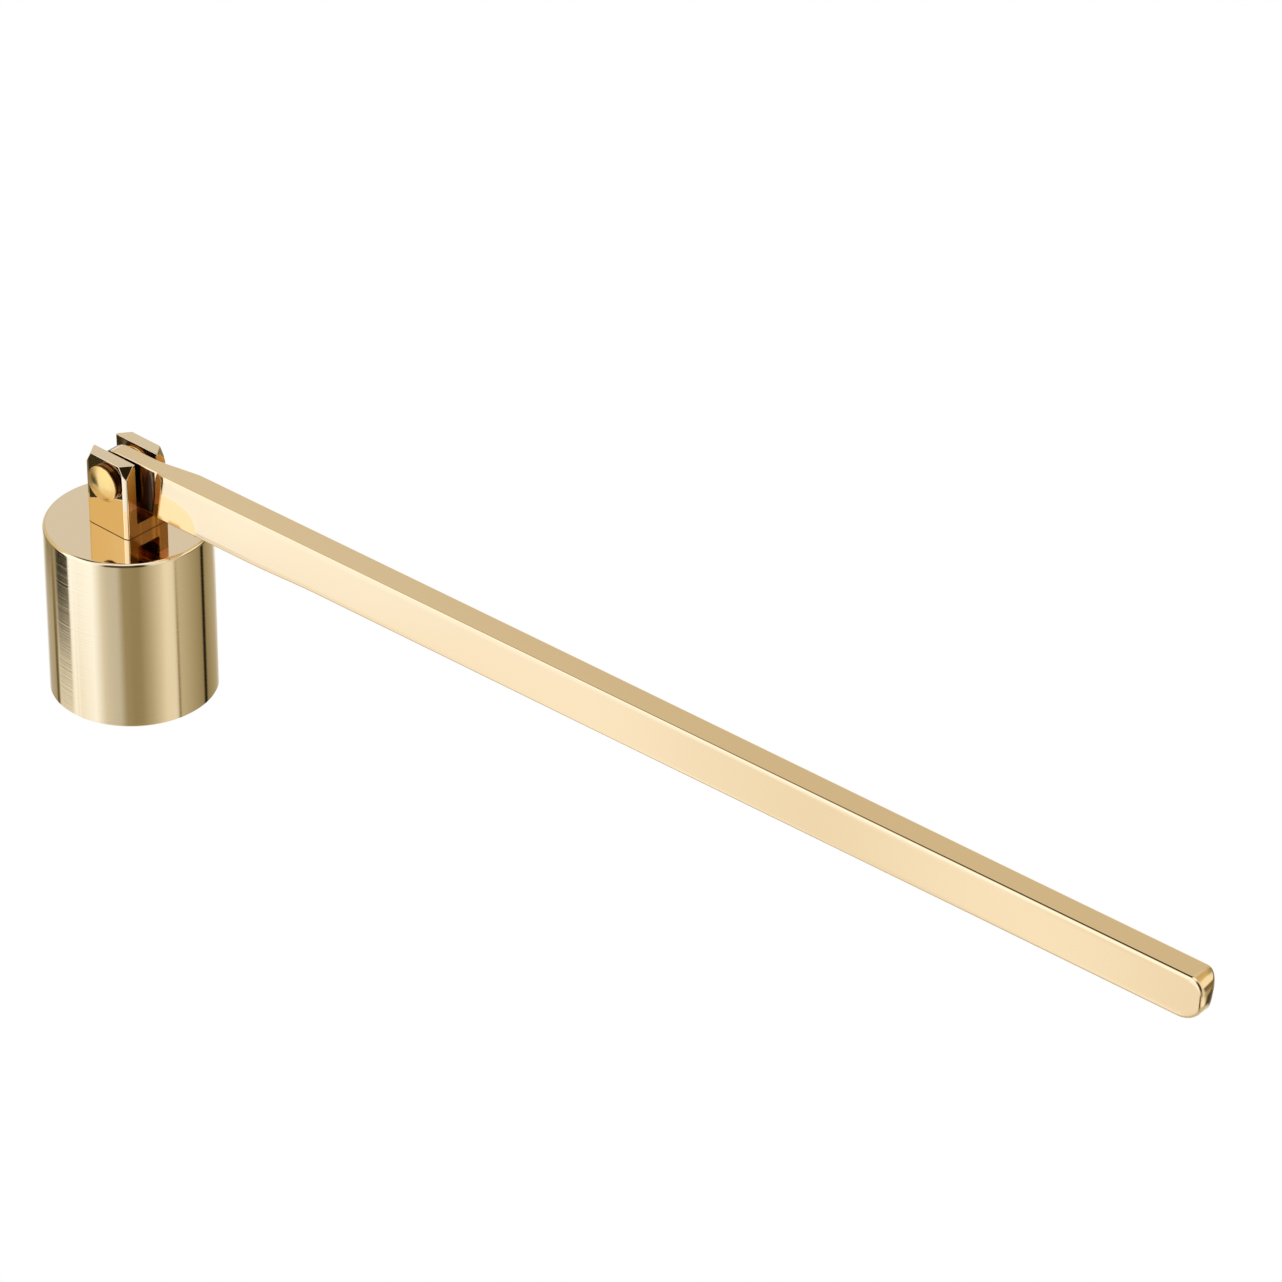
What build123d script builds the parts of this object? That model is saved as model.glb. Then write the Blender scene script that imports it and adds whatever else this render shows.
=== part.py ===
from build123d import *
import os

# Candle snuffer: a small turned cup that hangs from a flat bar handle by a riveted hinge.
# A U-shaped bracket stands on the cup. Its two uprights are called ears, and the handle's thinned end,
# the tongue, turns between them.
# Millimetres, +Z up. The origin is the centre of the cup's mouth, and +X runs along the handle.
# The handle is level and the cup hangs straight down from it. The hinge axis is along Y.

# Cup, turned from one piece, with its mouth down.
cup_radius = 12.5
cup_height = 28.0
cup_wall = 1.2
cup_top_thickness = 2.0
cup_rim_bevel = 0.3
cup_top_round = 0.35
cup_cavity_round = 0.8

# Hinge, seen from the side: the rivet's axis above the cup.
pin_above_cup = 8.35
rivet_radius = 1.5
running_clearance = 0.05
rivet_seat_clearance = 0.02

# Hinge, across: how far the tongue's two faces lie from the handle's middle plane, the washers, and
# the play at the near washer. The rest of the play is at the far one.
tongue_near = 1.69
tongue_far = 0.85
washer_thickness = 0.34
washer_radius = 3.1
side_play = 0.05

# Bracket.
bracket_base = 1.95
bracket_slot_round = 0.25
ear_width = 8.4
ear_thickness = 2.05
ear_above_pin = 3.65
ear_side_bevel = 0.45
ear_edge_break = 0.15
ear_clip_along = 1.3
ear_clip_inward = 1.75
ear_clip_down = 2.3

# Rivet heads: the near one is the finished, domed one, and the far one is formed.
near_head_radius = 2.8
near_head_rim = 1.0
near_head_crown = 0.5
far_head_radius = 2.6
far_head_rim = 0.45
far_head_crown = 0.55

# Handle, a flat bar that stands on edge. Its top is level, and its bottom is lowest at the round eye
# and rises along a short taper and then slowly to the tip. The eye's middle lies a little past the rivet.
handle_top_above_pin = 3.75
eye_bottom_below_pin = 3.88
bar_bottom_below_pin = 3.5
tip_bottom_below_pin = 3.2
taper_start = 26.0
taper_end = 40.0
eye_past_pin = 0.17
handle_reach = 193.5
handle_thickness = 4.1
handle_edge_round = 0.3
handle_tip_top_round = 2.2
handle_tip_bottom_round = 3.8
handle_tip_near_round = 0.6
handle_tip_far_round = 2.4
near_shoulder_from_pin = 7.4
near_shoulder_run = 1.5
far_shoulder_from_pin = 5.5
far_shoulder_run = 6.9
shoulder_lean = 11.0
tongue_edge_round = 0.2

# Cuts run past the metal by this much, and the tongue's side cuts are this much taller than the bar.
overrun = 1.0
side_cut_height_share = 2.0

# Worked out from the sizes above.
pin_height = cup_height + pin_above_cup
ear_gap = 2 * (tongue_near + side_play + washer_thickness)
ear_height = pin_above_cup + ear_above_pin
ear_outer = ear_gap / 2 + ear_thickness
running_hole_radius = rivet_radius + running_clearance
eye_radius = (handle_top_above_pin + eye_bottom_below_pin) / 2
eye_middle = handle_top_above_pin - eye_radius


def cup():
    # A straight-sided cup with a flat closed top and a bevelled rim.
    cavity_radius = cup_radius - cup_wall
    cavity_height = cup_height - cup_top_thickness
    outside = Cylinder(cup_radius, cup_height, align=(Align.CENTER, Align.CENTER, Align.MIN))
    cavity = Cylinder(cavity_radius, cavity_height, align=(Align.CENTER, Align.CENTER, Align.MIN))
    cavity = fillet(cavity.edges().group_by(Axis.Z)[-1], cup_cavity_round)
    outside = fillet(outside.edges().group_by(Axis.Z)[-1], cup_top_round)
    body = outside - cavity
    return chamfer(body.edges().group_by(Axis.Z)[0], cup_rim_bevel)


def across(radius, length, start):
    # A round bar along Y, from start to start + length, on the hinge axis.
    bar = Cylinder(radius, length, align=(Align.CENTER, Align.CENTER, Align.MIN))
    return Pos(0, start, pin_height) * Rot(-90, 0, 0) * bar


def clip_plane(side):
    # The flat that takes off an ear's outer top corner, through a point on each of its three edges.
    normal = Vector(side / ear_clip_along, 1 / ear_clip_inward, 1 / ear_clip_down)
    on_top_edge = Vector(side * (ear_width / 2 - ear_clip_along), ear_thickness, ear_height)
    return Plane(origin=on_top_edge, z_dir=normal)


def ear():
    # One ear with its inner face at y = 0, its outer face towards +Y and its foot at z = 0.
    half = ear_width / 2
    plan = Polyline(
        (-half, 0),
        (half, 0),
        (half, ear_thickness - ear_side_bevel),
        (half - ear_side_bevel, ear_thickness),
        (-half + ear_side_bevel, ear_thickness),
        (-half, ear_thickness - ear_side_bevel),
        close=True,
    )
    body = extrude(make_face(plan), ear_height)
    for side in (-1, 1):
        body = split(body, bisect_by=clip_plane(side), keep=Keep.BOTTOM)
    top_edges = body.faces().sort_by(Axis.Z)[-1].edges()
    return chamfer(top_edges, ear_edge_break)


def bracket():
    # Both ears on their base, with the slot's two bottom corners rounded and the rivet's hole through.
    base_align = (Align.CENTER, Align.CENTER, Align.MIN)
    body = Box(ear_width, ear_gap, bracket_base, align=base_align)
    body += Pos(0, ear_gap / 2, 0) * ear()
    body += Pos(0, -ear_gap / 2, 0) * Rot(0, 0, 180) * ear()
    slot_floor = body.faces().filter_by(Axis.Z).group_by(Axis.Z)[1]
    body = fillet(slot_floor.edges().filter_by(Axis.X), bracket_slot_round)
    hole = across(rivet_radius + rivet_seat_clearance, 2 * ear_outer + 2 * overrun, -ear_outer - overrun)
    return Pos(0, 0, cup_height) * body - hole


def domed_head(radius, rim, crown):
    # A rivet head on z = 0: a short cylinder under a shallow dome.
    dome_radius = (radius**2 + crown**2) / (2 * crown)
    ball = Pos(0, 0, rim + crown - dome_radius) * Sphere(dome_radius)
    blank = Cylinder(radius, rim + crown, align=(Align.CENTER, Align.CENTER, Align.MIN))
    return blank & ball


def hinge_rivet():
    # A shank through both ears, with a head on each.
    shank = across(rivet_radius, 2 * ear_outer, -ear_outer)
    near_head = Rot(90, 0, 0) * domed_head(near_head_radius, near_head_rim, near_head_crown)
    far_head = Rot(-90, 0, 0) * domed_head(far_head_radius, far_head_rim, far_head_crown)
    return shank + Pos(0, -ear_outer, pin_height) * near_head + Pos(0, ear_outer, pin_height) * far_head


def washer(side):
    # A thin washer that lies against an ear's inner face.
    start = ear_gap / 2 - washer_thickness if side > 0 else -ear_gap / 2
    disc = across(washer_radius, washer_thickness, start)
    return disc - across(running_hole_radius, washer_thickness + 2 * overrun, start - overrun)


def side_cut(side, tongue_face, shoulder_from_pin, shoulder_run):
    # What comes off one half of the bar, from its middle plane out, up to a sloped shoulder.
    # Drawn in plan about the hinge axis, then leaned so that the shoulder is further out at the top.
    depth = handle_thickness / 2 - tongue_face
    outer = handle_thickness / 2 + overrun
    slope_end = shoulder_from_pin + shoulder_run * (depth + overrun) / depth
    plan = Polyline(
        (-2 * eye_radius, 0),
        (shoulder_from_pin, 0),
        (shoulder_from_pin, side * tongue_face),
        (slope_end, side * outer),
        (-2 * eye_radius, side * outer),
        close=True,
    )
    block = extrude(make_face(plan), side_cut_height_share * eye_radius, both=True)
    foot = Pos(shoulder_from_pin, 0, 0)
    return foot * Rot(0, shoulder_lean, 0) * foot.inverse() * block


def round_tip(outline, low_round, high_round):
    # Rounds the two corners of an outline at the handle's tip, which are its furthest towards +X.
    outline = fillet(outline.vertices().sort_by(lambda corner: corner.X - corner.Y)[-1], low_round)
    return fillet(outline.vertices().sort_by(lambda corner: corner.X + corner.Y)[-1], high_round)


def plain_bar():
    # The bar about the hinge axis: its side view with a round eye at one end, cut to its plan.
    side_view = Polyline(
        (-eye_past_pin, handle_top_above_pin),
        (handle_reach, handle_top_above_pin),
        (handle_reach, -tip_bottom_below_pin),
        (taper_end, -bar_bottom_below_pin),
        (taper_start, -eye_bottom_below_pin),
        (-eye_past_pin, -eye_bottom_below_pin),
        close=True,
    )
    from_side = round_tip(make_face(side_view), handle_tip_bottom_round, handle_tip_top_round)
    from_side += Pos(-eye_past_pin, eye_middle) * Circle(eye_radius)
    body = Rot(90, 0, 0) * extrude(from_side, handle_thickness / 2, both=True)
    body = fillet(body.faces().filter_by(Axis.Y).edges(), handle_edge_round)
    eye_end = -eye_past_pin - eye_radius
    plan = Rectangle(handle_reach - eye_end, handle_thickness, align=(Align.MIN, Align.CENTER))
    from_above = round_tip(Pos(eye_end, 0) * plan, handle_tip_near_round, handle_tip_far_round)
    return body & extrude(from_above, 2 * eye_radius, both=True)


def tongue():
    # The thinned end with its round eye, about the hinge axis. Its root runs on inside the bar.
    root = near_shoulder_from_pin + eye_radius
    root_align = (Align.MIN, Align.CENTER)
    from_side = Pos(-eye_past_pin, eye_middle) * Circle(eye_radius)
    from_side += Pos(-eye_past_pin, eye_middle) * Rectangle(root, 2 * eye_radius, align=root_align)
    body = Pos(0, tongue_far, 0) * Rot(90, 0, 0) * extrude(from_side, tongue_near + tongue_far)
    return fillet(body.faces().filter_by(Axis.Y).edges(), tongue_edge_round)


def handle():
    # A flat bar on edge, with a thinner tongue for an end that is bored for the rivet.
    body = plain_bar()
    body -= side_cut(-1, tongue_near, near_shoulder_from_pin, near_shoulder_run)
    body -= side_cut(1, tongue_far, far_shoulder_from_pin, far_shoulder_run)
    body += tongue()
    hole = across(running_hole_radius, handle_thickness + 2 * overrun, -handle_thickness / 2 - overrun)
    return Pos(0, 0, pin_height) * body - hole


parts = {
    "handle": handle(),
    "bell_cup": cup(),
    "hinge_bracket": bracket(),
    "hinge_rivet": hinge_rivet(),
    "near_washer": washer(-1),
    "far_washer": washer(1),
}

os.makedirs("parts", exist_ok=True)
for name, shape in parts.items():
    export_step(shape, f"parts/{name}.step")
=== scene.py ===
import bmesh
import bpy
import numpy as np
from mathutils import Matrix


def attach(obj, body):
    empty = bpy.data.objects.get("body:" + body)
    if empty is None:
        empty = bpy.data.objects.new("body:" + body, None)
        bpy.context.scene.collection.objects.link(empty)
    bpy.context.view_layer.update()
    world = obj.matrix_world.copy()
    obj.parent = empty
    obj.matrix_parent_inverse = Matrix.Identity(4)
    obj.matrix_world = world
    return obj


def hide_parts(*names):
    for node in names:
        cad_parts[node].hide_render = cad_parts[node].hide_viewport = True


# A candle snuffer in polished gold colour: a turned cup that hangs by a riveted hinge from a flat bar.
# Sizes in the dictionaries are millimetres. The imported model, in metres, is the frame that they fit.
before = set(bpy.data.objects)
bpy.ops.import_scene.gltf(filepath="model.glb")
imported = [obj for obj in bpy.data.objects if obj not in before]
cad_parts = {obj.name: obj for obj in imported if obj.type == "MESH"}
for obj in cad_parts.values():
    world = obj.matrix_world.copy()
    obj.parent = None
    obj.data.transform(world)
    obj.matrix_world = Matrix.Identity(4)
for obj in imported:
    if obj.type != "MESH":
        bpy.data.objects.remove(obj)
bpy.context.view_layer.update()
mm = 0.001
mergeDistance = 2e-7  # in metres: vertices nearer to each other than this become one
collapseDistance = 1e-8  # in metres: edges shorter than this are closed up
print("frame loaded")


def arcPoints(centreX, centreY, radius, startDeg, endDeg, steps):
    # An arc: centre plus radius times the cosine and sine of evenly spaced angles.
    angle = np.radians(np.linspace(startDeg, endDeg, steps))
    return np.column_stack((centreX + radius * np.cos(angle), centreY + radius * np.sin(angle)))


def gridQuads(rows, columns, firstIndex=0, closeColumns=False):
    # Corner numbers of the quads between neighbouring rows and columns of a grid of vertices.
    across = np.arange(columns if closeColumns else columns - 1)
    down = np.arange(rows - 1)
    row, column = np.meshgrid(down, across, indexing="ij")
    here, below = row * columns, (row + 1) * columns
    after = (column + 1) % columns
    corners = np.stack((here + column, here + after, below + after, below + column), -1)
    return corners.reshape(-1, 4) + firstIndex


def newPiece(name, vertices, quads, materials, quadMaterial=None, sharpDeg=30):
    # Fills a mesh from arrays, closes its poles and seams, and shades it smooth between sharp edges.
    mesh = bpy.data.meshes.new(name)
    mesh.from_pydata((np.asarray(vertices) * mm).tolist(), [], np.asarray(quads).tolist())
    for material in materials:
        mesh.materials.append(material)
    if quadMaterial is not None:
        mesh.polygons.foreach_set("material_index", np.asarray(quadMaterial, dtype=np.int32))
    work = bmesh.new()
    work.from_mesh(mesh)
    bmesh.ops.remove_doubles(work, verts=work.verts, dist=mergeDistance)
    bmesh.ops.dissolve_degenerate(work, edges=work.edges, dist=collapseDistance)
    bmesh.ops.recalc_face_normals(work, faces=work.faces)
    work.to_mesh(mesh)
    work.free()
    mesh.shade_smooth()
    mesh.set_sharp_from_angle(angle=np.radians(sharpDeg))
    piece = bpy.data.objects.new(name, mesh)
    bpy.context.scene.collection.objects.link(piece)
    return piece


def turnedPiece(name, profile, steps, axis, centreHeight, materials, rowMaterial=None, sharpDeg=30):
    # A turned surface: each profile point (radius, along) is carried round the axis,
    # to radius times cosine and sine of the angle in the plane square to the axis.
    profile = np.asarray(profile)
    angle = np.linspace(0, 2 * np.pi, steps, endpoint=False)
    radius, along = profile[:, :1], profile[:, 1:]
    c, s = radius * np.cos(angle), radius * np.sin(angle)
    level = np.repeat(along, steps, 1)
    if axis == "z":
        vertices = np.stack((c, s, level), -1)
    else:
        vertices = np.stack((c, level, centreHeight + s), -1)
    quads = gridQuads(len(profile), steps, closeColumns=True)
    quadMaterial = None if rowMaterial is None else np.repeat(rowMaterial, steps)
    return newPiece(name, vertices.reshape(-1, 3), quads, materials, quadMaterial, sharpDeg)


def cutAway(piece, ends):
    # Takes a straight-sided bar out of a piece. The bar's sides run from the outline of one end to
    # the same points of the other.
    count = ends.shape[1]
    cutMesh = bpy.data.meshes.new("cutter")
    faces = gridQuads(2, count, closeColumns=True).tolist()
    faces += [list(range(count)), list(range(2 * count - 1, count - 1, -1))]
    cutMesh.from_pydata((ends.reshape(-1, 3) * mm).tolist(), [], faces)
    work = bmesh.new()
    work.from_mesh(cutMesh)
    bmesh.ops.recalc_face_normals(work, faces=work.faces)
    work.to_mesh(cutMesh)
    work.free()
    cutter = bpy.data.objects.new("cutter", cutMesh)
    bpy.context.scene.collection.objects.link(cutter)
    boolean = piece.modifiers.new("cut", "BOOLEAN")
    boolean.operation = "DIFFERENCE"
    boolean.solver = "EXACT"
    boolean.object = cutter
    keepApplied(piece)
    bpy.data.objects.remove(cutter)


def boreHole(piece, radius, centreHeight, halfLength, steps=48):
    # Takes a round hole along Y out of a piece.
    ring = arcPoints(0, centreHeight, radius, 0, 360, steps + 1)[:-1]
    ends = [np.column_stack((ring[:, 0], np.full(steps, y), ring[:, 1])) for y in (-halfLength, halfLength)]
    cutAway(piece, np.stack(ends))


def keepApplied(piece):
    # Replaces the piece's mesh with what its modifiers make of it.
    graph = bpy.context.evaluated_depsgraph_get()
    graph.update()
    result = bpy.data.meshes.new_from_object(piece.evaluated_get(graph), depsgraph=graph)
    piece.modifiers.clear()
    piece.data = result


def softenEdges(piece, width, segments, angleDeg):
    # Rounds the edges at which the surface turns by more than the angle.
    bevel = piece.modifiers.new("softEdges", "BEVEL")
    bevel.width = width * mm
    bevel.segments = segments
    bevel.limit_method = "ANGLE"
    bevel.angle_limit = np.radians(angleDeg)
    bevel.harden_normals = False
    bevel.miter_outer = "MITER_SHARP"


def keepFacesFlat(piece, angleDeg):
    # Large faces lead where they meet their rounded edges, so that flat faces mirror like flat ones.
    piece.data.shade_smooth()
    piece.data.set_sharp_from_angle(angle=np.radians(angleDeg))
    weighted = piece.modifiers.new("flatFaces", "WEIGHTED_NORMAL")
    weighted.mode = "FACE_AREA"
    weighted.weight = 100  # the largest face decides
    weighted.keep_sharp = True


def nodeGroup(name, inputs, outputs):
    # An empty node group with named inputs (name, default) and outputs (name, kind).
    group = bpy.data.node_groups.new(name, "ShaderNodeTree")
    for label, value in inputs:
        socket = group.interface.new_socket(label, in_out="INPUT", socket_type="NodeSocketFloat")
        socket.default_value = value
    for label, kind in outputs:
        group.interface.new_socket(label, in_out="OUTPUT", socket_type=kind)
    return group, group.nodes.new("NodeGroupInput"), group.nodes.new("NodeGroupOutput")


def mathNode(nodes, links, operation, first, second=None, third=None, clamp=False):
    # One math node: numbers are set on its inputs, and sockets are linked to them.
    node = nodes.new("ShaderNodeMath")
    node.operation = operation
    node.use_clamp = clamp
    for index, value in enumerate((first, second, third)):
        if value is None:
            continue
        if isinstance(value, (int, float)):
            node.inputs[index].default_value = value
        else:
            links.new(value, node.inputs[index])
    return node.outputs[0]


turningLook = {"detail": 3.0, "noiseRoughness": 0.6, "bumpMetres": 0.000004}


def makeTurningGroup():
    # Fine rings left by the lathe. Noise is read at the distance from the axis plus the height, times
    # Fineness, so it changes from ring to ring and not around them.
    group, gin, gout = nodeGroup(
        "turningLines",
        (("Fineness", 2500.0), ("Depth", 1.0), ("Roughness", 0.2), ("Spread", 0.05)),
        (("Normal", "NodeSocketVector"), ("Roughness", "NodeSocketFloat"), ("Tone", "NodeSocketFloat")),
    )
    nodes, links = group.nodes, group.links
    place = nodes.new("ShaderNodeTexCoord")
    parts = nodes.new("ShaderNodeSeparateXYZ")
    links.new(place.outputs["Object"], parts.inputs[0])
    xSquared = mathNode(nodes, links, "MULTIPLY", parts.outputs["X"], parts.outputs["X"])
    squares = mathNode(nodes, links, "MULTIPLY_ADD", parts.outputs["Y"], parts.outputs["Y"], xSquared)
    radius = mathNode(nodes, links, "SQRT", squares)
    step = mathNode(nodes, links, "ADD", radius, parts.outputs["Z"])
    scaled = mathNode(nodes, links, "MULTIPLY", step, gin.outputs["Fineness"])
    fine = nodes.new("ShaderNodeTexNoise")
    fine.noise_dimensions = "1D"
    fine.inputs["Scale"].default_value = 1.0
    fine.inputs["Detail"].default_value = turningLook["detail"]
    fine.inputs["Roughness"].default_value = turningLook["noiseRoughness"]
    links.new(scaled, fine.inputs["W"])
    bump = nodes.new("ShaderNodeBump")
    bump.inputs["Distance"].default_value = turningLook["bumpMetres"]
    links.new(gin.outputs["Depth"], bump.inputs["Strength"])
    links.new(fine.outputs["Fac"], bump.inputs["Height"])
    links.new(bump.outputs["Normal"], gout.inputs["Normal"])
    centred = mathNode(nodes, links, "SUBTRACT", fine.outputs["Fac"], 0.5)
    spread, middle = gin.outputs["Spread"], gin.outputs["Roughness"]
    rough = mathNode(nodes, links, "MULTIPLY_ADD", centred, spread, middle, clamp=True)
    links.new(rough, gout.inputs["Roughness"])
    links.new(fine.outputs["Fac"], gout.inputs["Tone"])
    return group


polishLook = {"hazeScale": 60.0, "hairScale": (60.0, 2600.0, 2600.0), "detail": 2.0, "bumpMetres": 0.000003}


def makePolishGroup():
    # Polishing haze: slow noise moves the roughness a little, and short fine noise stretched along X
    # leaves the hair lines of the wheel.
    group, gin, gout = nodeGroup(
        "wheelPolish",
        (("Roughness", 0.1), ("Haze", 0.03), ("Hairs", 0.2)),
        (("Normal", "NodeSocketVector"), ("Roughness", "NodeSocketFloat"), ("Tone", "NodeSocketFloat")),
    )
    nodes, links = group.nodes, group.links
    place = nodes.new("ShaderNodeTexCoord")
    slow = nodes.new("ShaderNodeTexNoise")
    slow.inputs["Scale"].default_value = polishLook["hazeScale"]
    slow.inputs["Detail"].default_value = polishLook["detail"]
    links.new(place.outputs["Object"], slow.inputs["Vector"])
    stretch = nodes.new("ShaderNodeMapping")
    stretch.inputs["Scale"].default_value = polishLook["hairScale"]
    links.new(place.outputs["Object"], stretch.inputs["Vector"])
    hair = nodes.new("ShaderNodeTexNoise")
    hair.inputs["Scale"].default_value = 1.0
    hair.inputs["Detail"].default_value = polishLook["detail"]
    links.new(stretch.outputs["Vector"], hair.inputs["Vector"])
    bump = nodes.new("ShaderNodeBump")
    bump.inputs["Distance"].default_value = polishLook["bumpMetres"]
    links.new(gin.outputs["Hairs"], bump.inputs["Strength"])
    links.new(hair.outputs["Fac"], bump.inputs["Height"])
    links.new(bump.outputs["Normal"], gout.inputs["Normal"])
    centred = mathNode(nodes, links, "SUBTRACT", slow.outputs["Fac"], 0.5)
    haze, middle = gin.outputs["Haze"], gin.outputs["Roughness"]
    rough = mathNode(nodes, links, "MULTIPLY_ADD", centred, haze, middle, clamp=True)
    links.new(rough, gout.inputs["Roughness"])
    links.new(slow.outputs["Fac"], gout.inputs["Tone"])
    return group


def goldMaterial(name, light, deep, effect, values):
    # Polished gold colour: one metal whose tone moves between a light and a deep mix.
    material = bpy.data.materials.new(name)
    material.use_nodes = True
    nodes, links = material.node_tree.nodes, material.node_tree.links
    shader = nodes["Principled BSDF"]
    shader.inputs["Metallic"].default_value = 1.0
    surface = nodes.new("ShaderNodeGroup")
    surface.node_tree = effect
    for label, value in values.items():
        surface.inputs[label].default_value = value
    tone = nodes.new("ShaderNodeMix")
    tone.data_type = "RGBA"
    tone.inputs[6].default_value = (*light, 1)
    tone.inputs[7].default_value = (*deep, 1)
    links.new(surface.outputs["Tone"], tone.inputs["Factor"])
    links.new(tone.outputs[2], shader.inputs["Base Color"])
    links.new(surface.outputs["Roughness"], shader.inputs["Roughness"])
    links.new(surface.outputs["Normal"], shader.inputs["Normal"])
    material.diffuse_color = (*light, 1)
    return material


shadeAndSeamLook = {
    "edgeSteepness": 25.0,
    "streakScale": (1.1, 1.1, 0.16),
    "detail": 3.0,
    "streakFrom": 0.53,
    "streakTo": 0.72,
    "addedRoughness": 0.12,
}


def makeShadeAndSeamGroup():
    # Painted shade and light about the hinge, in its slot and on the bracket's side, and the dark solder
    # seam. The mask is 1 where |y| is under Half, x between From and Reach and z between Low and High,
    # all in millimetres. The streaks run up and down, and Lift times the share of the way from Low to
    # High is added to them, which paints light that grows towards the top.
    group, gin, gout = nodeGroup(
        "paintedShadeAndSeam",
        (("Half", 1.75), ("From", -20.0), ("Reach", 7.5), ("Low", 32.7), ("High", 39.8), ("Lift", 0.0)),
        (("Mask", "NodeSocketFloat"), ("Streaks", "NodeSocketFloat")),
    )
    nodes, links = group.nodes, group.links
    place = nodes.new("ShaderNodeTexCoord")
    inMillimetres = nodes.new("ShaderNodeVectorMath")
    inMillimetres.operation = "SCALE"
    inMillimetres.inputs["Scale"].default_value = 1000.0
    links.new(place.outputs["Object"], inMillimetres.inputs[0])
    parts = nodes.new("ShaderNodeSeparateXYZ")
    links.new(inMillimetres.outputs[0], parts.inputs[0])
    fromMiddle = mathNode(nodes, links, "ABSOLUTE", parts.outputs["Y"])
    room = (
        mathNode(nodes, links, "SUBTRACT", gin.outputs["Half"], fromMiddle),
        mathNode(nodes, links, "SUBTRACT", gin.outputs["Reach"], parts.outputs["X"]),
        mathNode(nodes, links, "SUBTRACT", parts.outputs["X"], gin.outputs["From"]),
        mathNode(nodes, links, "SUBTRACT", parts.outputs["Z"], gin.outputs["Low"]),
        mathNode(nodes, links, "SUBTRACT", gin.outputs["High"], parts.outputs["Z"]),
    )
    least = room[0]
    for distance in room[1:]:
        least = mathNode(nodes, links, "MINIMUM", least, distance)
    mask = mathNode(nodes, links, "MULTIPLY", least, shadeAndSeamLook["edgeSteepness"], clamp=True)
    links.new(mask, gout.inputs["Mask"])
    stretch = nodes.new("ShaderNodeMapping")
    stretch.inputs["Scale"].default_value = shadeAndSeamLook["streakScale"]
    links.new(inMillimetres.outputs[0], stretch.inputs["Vector"])
    noise = nodes.new("ShaderNodeTexNoise")
    noise.inputs["Scale"].default_value = 1.0
    noise.inputs["Detail"].default_value = shadeAndSeamLook["detail"]
    links.new(stretch.outputs["Vector"], noise.inputs["Vector"])
    sharpen = nodes.new("ShaderNodeMapRange")
    sharpen.inputs["From Min"].default_value = shadeAndSeamLook["streakFrom"]
    sharpen.inputs["From Max"].default_value = shadeAndSeamLook["streakTo"]
    links.new(noise.outputs["Fac"], sharpen.inputs["Value"])
    # Painted light: the streak tone grows with the height, by Lift.
    span = mathNode(nodes, links, "SUBTRACT", gin.outputs["High"], gin.outputs["Low"])
    rise = mathNode(nodes, links, "DIVIDE", room[3], span)
    lifted = mathNode(nodes, links, "MULTIPLY_ADD", rise, gin.outputs["Lift"], sharpen.outputs[0], clamp=True)
    links.new(lifted, gout.inputs["Streaks"])
    return group


def addShadeAndSeam(material, effect, values, dark, streak, metallic):
    # Mixes the gold with a streaky tone under the mask: painted shade and light about the hinge, and
    # the seam's dark colour. There it is rougher and, by its metallic share, less of a mirror.
    nodes, links = material.node_tree.nodes, material.node_tree.links
    shader = nodes["Principled BSDF"]
    recess = nodes.new("ShaderNodeGroup")
    recess.node_tree = effect
    for label, value in values.items():
        recess.inputs[label].default_value = value
    shadeAndSeamTone = nodes.new("ShaderNodeMix")
    shadeAndSeamTone.data_type = "RGBA"
    shadeAndSeamTone.inputs[6].default_value = (*dark, 1)
    shadeAndSeamTone.inputs[7].default_value = (*streak, 1)
    links.new(recess.outputs["Streaks"], shadeAndSeamTone.inputs["Factor"])
    blend = nodes.new("ShaderNodeMix")
    blend.data_type = "RGBA"
    links.new(recess.outputs["Mask"], blend.inputs["Factor"])
    links.new(shader.inputs["Base Color"].links[0].from_socket, blend.inputs[6])
    links.new(shadeAndSeamTone.outputs[2], blend.inputs[7])
    links.new(blend.outputs[2], shader.inputs["Base Color"])
    share = mathNode(nodes, links, "MULTIPLY_ADD", recess.outputs["Mask"], metallic - 1.0, 1.0)
    linked = shader.inputs["Metallic"].is_linked
    before = shader.inputs["Metallic"].links[0].from_socket if linked else 1.0
    links.new(mathNode(nodes, links, "MULTIPLY", share, before), shader.inputs["Metallic"])
    smoother, added = shader.inputs["Roughness"].links[0].from_socket, shadeAndSeamLook["addedRoughness"]
    rough = mathNode(nodes, links, "MULTIPLY_ADD", recess.outputs["Mask"], added, smoother)
    links.new(rough, shader.inputs["Roughness"])


turning = makeTurningGroup()
polish = makePolishGroup()
shadeAndSeamEffect = makeShadeAndSeamGroup()

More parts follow.
